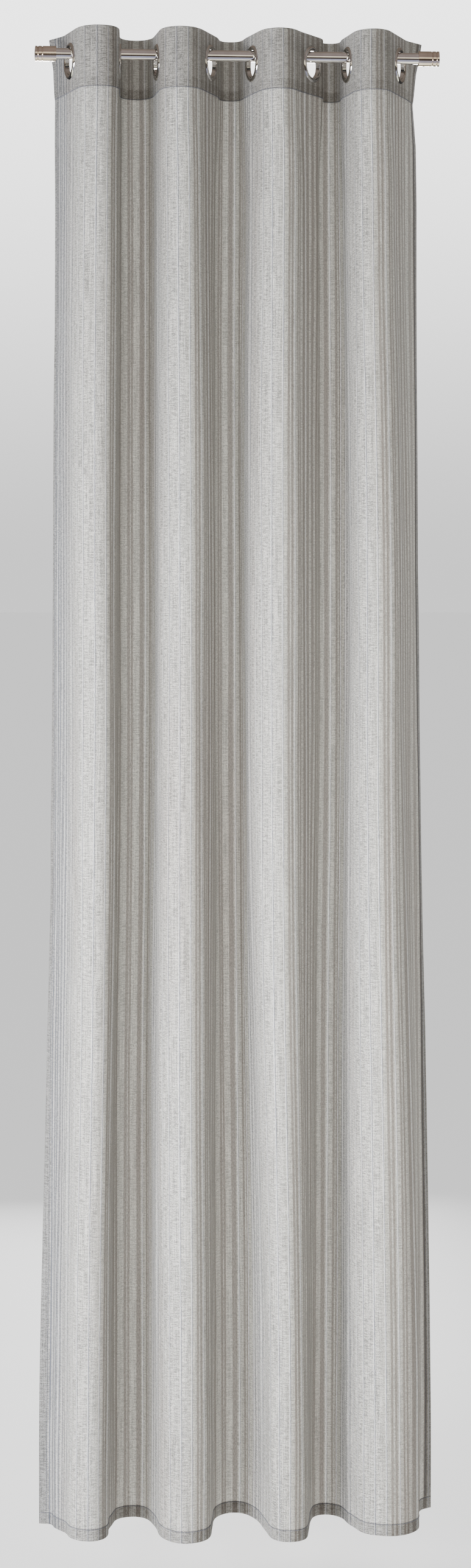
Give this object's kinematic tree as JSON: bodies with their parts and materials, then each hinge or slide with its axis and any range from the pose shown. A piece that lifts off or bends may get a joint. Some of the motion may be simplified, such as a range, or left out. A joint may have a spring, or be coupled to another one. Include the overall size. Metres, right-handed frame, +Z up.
{
  "type": "eyelet curtain panel on a rod",
  "caption": "Striped linen-look eyelet curtain gathered in waves on a round metal rod with two turned finials; it draws along the rod and swings below it.",
  "frame": {"origin": "on the rod's axis, midway between the finials", "axes": "+X along the rod to the right as seen from the room, -Y towards the room, +Z up"},
  "size_m": [0.664, 0.1595, 2.45],
  "materials": {
    "rod": "satin polished stainless tube",
    "finial": "satin polished turned metal",
    "grub_screw": "black oxide",
    "cloth": "matt slub weave with fine warp stripes",
    "heading_tape": "stiff white non-woven tape",
    "eyelet": "polished, with a slight warm tint"
  },
  "bodies": {
    "rod": {"rod_tube": "rod"},
    "finial_left": {"finial_left": "finial", "grub_screw_left": "grub_screw"},
    "finial_right": {"finial_right": "finial", "grub_screw_right": "grub_screw"},
    "pleat_1": {"cloth_heading_1": "cloth", "cloth_drop_1": "cloth", "heading_tape_1": "heading_tape"},
    "pleat_2": {"cloth_heading_2": "cloth", "cloth_drop_2": "cloth", "heading_tape_2": "heading_tape"},
    "pleat_3": {"cloth_heading_3": "cloth", "cloth_drop_3": "cloth", "heading_tape_3": "heading_tape"},
    "pleat_4": {"cloth_heading_4": "cloth", "cloth_drop_4": "cloth", "heading_tape_4": "heading_tape"},
    "pleat_5": {"cloth_heading_5": "cloth", "cloth_drop_5": "cloth", "heading_tape_5": "heading_tape"},
    "pleat_6": {"cloth_heading_6": "cloth", "cloth_drop_6": "cloth", "heading_tape_6": "heading_tape"},
    "pleat_7": {"cloth_heading_7": "cloth", "cloth_drop_7": "cloth", "heading_tape_7": "heading_tape"},
    "pleat_8": {"cloth_heading_8": "cloth", "cloth_drop_8": "cloth", "heading_tape_8": "heading_tape"},
    "eyelet_1": {"eyelet_1_front": "eyelet", "eyelet_1_back": "eyelet"},
    "eyelet_2": {"eyelet_2_front": "eyelet", "eyelet_2_back": "eyelet"},
    "eyelet_3": {"eyelet_3_front": "eyelet", "eyelet_3_back": "eyelet"},
    "eyelet_4": {"eyelet_4_front": "eyelet", "eyelet_4_back": "eyelet"},
    "eyelet_5": {"eyelet_5_front": "eyelet", "eyelet_5_back": "eyelet"},
    "eyelet_6": {"eyelet_6_front": "eyelet", "eyelet_6_back": "eyelet"},
    "eyelet_7": {"eyelet_7_front": "eyelet", "eyelet_7_back": "eyelet"},
    "eyelet_8": {"eyelet_8_front": "eyelet", "eyelet_8_back": "eyelet"}
  },
  "joints": [
    {"name": "curtain_swing", "type": "hinge", "parent": "rod", "child": "pleat_1", "pos_m": [0, 0, 0], "axis": [1, 0, 0], "range_deg": [-12, 5]},
    {"name": "finial_left_pull", "type": "slide", "parent": "rod", "child": "finial_left", "axis": [-1, 0, 0], "range_m": [0, 0.03]},
    {"name": "finial_right_pull", "type": "slide", "parent": "rod", "child": "finial_right", "axis": [1, 0, 0], "range_m": [0, 0.03]},
    {"name": "curtain_draw", "type": "slide", "parent": "pleat_1", "child": "pleat_8", "axis": [-1, 0, 0], "range_m": [0, 0.3234], "deforming": ["cloth_heading_8", "cloth_drop_8", "heading_tape_8", "cloth_heading_1", "cloth_drop_1", "heading_tape_1"]},
    {"name": "pleat_2_draw", "type": "slide", "parent": "pleat_1", "child": "pleat_2", "axis": [-1, 0, 0], "range_m": [0, 0.0472], "deforming": ["cloth_heading_2", "cloth_drop_2", "heading_tape_2"]},
    {"name": "pleat_3_draw", "type": "slide", "parent": "pleat_1", "child": "pleat_3", "axis": [-1, 0, 0], "range_m": [0, 0.085], "deforming": ["cloth_heading_3", "cloth_drop_3", "heading_tape_3"]},
    {"name": "pleat_4_draw", "type": "slide", "parent": "pleat_1", "child": "pleat_4", "axis": [-1, 0, 0], "range_m": [0, 0.1369], "deforming": ["cloth_heading_4", "cloth_drop_4", "heading_tape_4"]},
    {"name": "pleat_5_draw", "type": "slide", "parent": "pleat_1", "child": "pleat_5", "axis": [-1, 0, 0], "range_m": [0, 0.1786], "deforming": ["cloth_heading_5", "cloth_drop_5", "heading_tape_5"]},
    {"name": "pleat_6_draw", "type": "slide", "parent": "pleat_1", "child": "pleat_6", "axis": [-1, 0, 0], "range_m": [0, 0.2368], "deforming": ["cloth_heading_6", "cloth_drop_6", "heading_tape_6"]},
    {"name": "pleat_7_draw", "type": "slide", "parent": "pleat_1", "child": "pleat_7", "axis": [-1, 0, 0], "range_m": [0, 0.2725], "deforming": ["cloth_heading_7", "cloth_drop_7", "heading_tape_7"]},
    {"name": "eyelet_1_turn", "type": "hinge", "parent": "pleat_1", "child": "eyelet_1", "pos_m": [-0.2735, 0, -0.0118], "axis": [0, 0, 1], "range_deg": [-8.31, 0]},
    {"name": "eyelet_2_turn", "type": "hinge", "parent": "pleat_2", "child": "eyelet_2", "pos_m": [-0.195, 0, -0.0118], "axis": [0, 0, 1], "range_deg": [0, 1.81]},
    {"name": "eyelet_3_turn", "type": "hinge", "parent": "pleat_3", "child": "eyelet_3", "pos_m": [-0.132, 0, -0.0118], "axis": [0, 0, 1], "range_deg": [-3.3, 0]},
    {"name": "eyelet_4_turn", "type": "hinge", "parent": "pleat_4", "child": "eyelet_4", "pos_m": [-0.0455, 0, -0.0118], "axis": [0, 0, 1], "range_deg": [0, 13.1]},
    {"name": "eyelet_5_turn", "type": "hinge", "parent": "pleat_5", "child": "eyelet_5", "pos_m": [0.024, 0, -0.0118], "axis": [0, 0, 1], "range_deg": [-8.31, 0]},
    {"name": "eyelet_6_turn", "type": "hinge", "parent": "pleat_6", "child": "eyelet_6", "pos_m": [0.121, 0, -0.0118], "axis": [0, 0, 1], "range_deg": [0, 18.91]},
    {"name": "eyelet_7_turn", "type": "hinge", "parent": "pleat_7", "child": "eyelet_7", "pos_m": [0.1805, 0, -0.0118], "axis": [0, 0, 1], "range_deg": [-5.38, 0]},
    {"name": "eyelet_8_turn", "type": "hinge", "parent": "pleat_8", "child": "eyelet_8", "pos_m": [0.2655, 0, -0.0118], "axis": [0, 0, 1], "range_deg": [0, 13.91]}
  ],
  "couplings": [
    {"joint": "pleat_2_draw", "follows": "curtain_draw", "ratio": 0.14564},
    {"joint": "pleat_3_draw", "follows": "curtain_draw", "ratio": 0.26252},
    {"joint": "pleat_4_draw", "follows": "curtain_draw", "ratio": 0.42301},
    {"joint": "pleat_5_draw", "follows": "curtain_draw", "ratio": 0.55195},
    {"joint": "pleat_6_draw", "follows": "curtain_draw", "ratio": 0.73191},
    {"joint": "pleat_7_draw", "follows": "curtain_draw", "ratio": 0.8423},
    {"joint": "eyelet_1_turn", "follows": "curtain_draw", "rad_per_m": -0.44819},
    {"joint": "eyelet_2_turn", "follows": "curtain_draw", "rad_per_m": 0.097093},
    {"joint": "eyelet_3_turn", "follows": "curtain_draw", "rad_per_m": -0.17779},
    {"joint": "eyelet_4_turn", "follows": "curtain_draw", "rad_per_m": 0.70657},
    {"joint": "eyelet_5_turn", "follows": "curtain_draw", "rad_per_m": -0.44819},
    {"joint": "eyelet_6_turn", "follows": "curtain_draw", "rad_per_m": 1.02},
    {"joint": "eyelet_7_turn", "follows": "curtain_draw", "rad_per_m": -0.29008},
    {"joint": "eyelet_8_turn", "follows": "curtain_draw", "rad_per_m": 0.75026}
  ]
}
